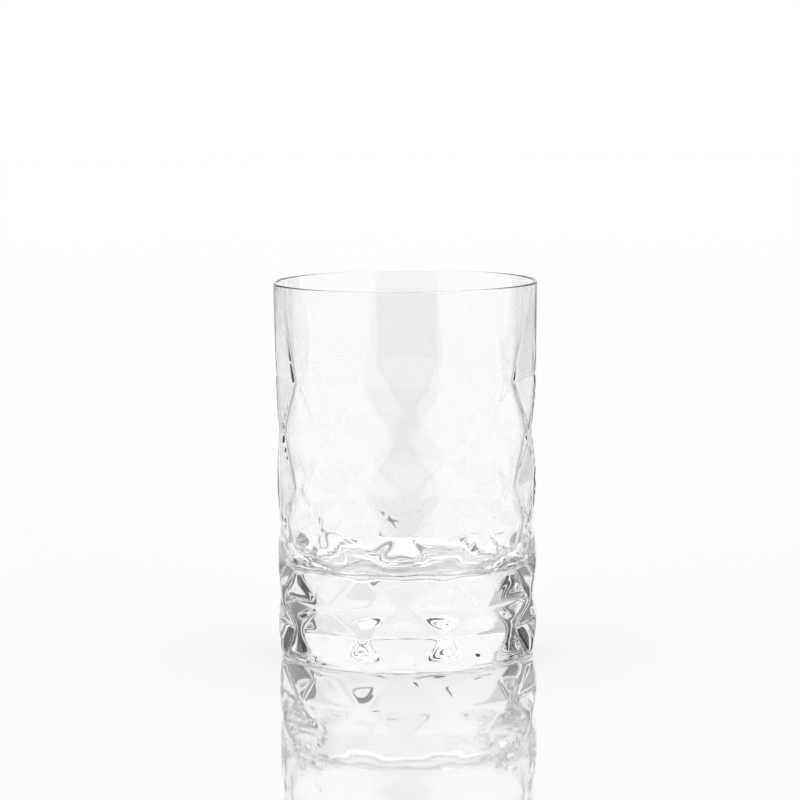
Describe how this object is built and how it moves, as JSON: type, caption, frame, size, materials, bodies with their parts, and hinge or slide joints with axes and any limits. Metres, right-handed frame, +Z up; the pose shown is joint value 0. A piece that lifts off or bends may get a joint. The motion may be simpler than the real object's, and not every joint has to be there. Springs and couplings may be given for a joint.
{
  "type": "whiskey tumbler",
  "caption": "Clear straight-sided drinking glass with a smooth round rim, diamond facets that shrink downwards and a thick heavy base.",
  "frame": {"origin": "centre of the circle that the glass stands on, at table height", "axes": "+Z up along the glass's axis; -Y towards the viewer, through the middle of one facet column; +X to the viewer's right"},
  "size_m": [0.0762, 0.0762, 0.108],
  "materials": {
    "clear_glass": "fire-polished clear lead-free crystal"
  },
  "bodies": {
    "root": {"glass_tumbler": "clear_glass"}
  },
  "joints": []
}
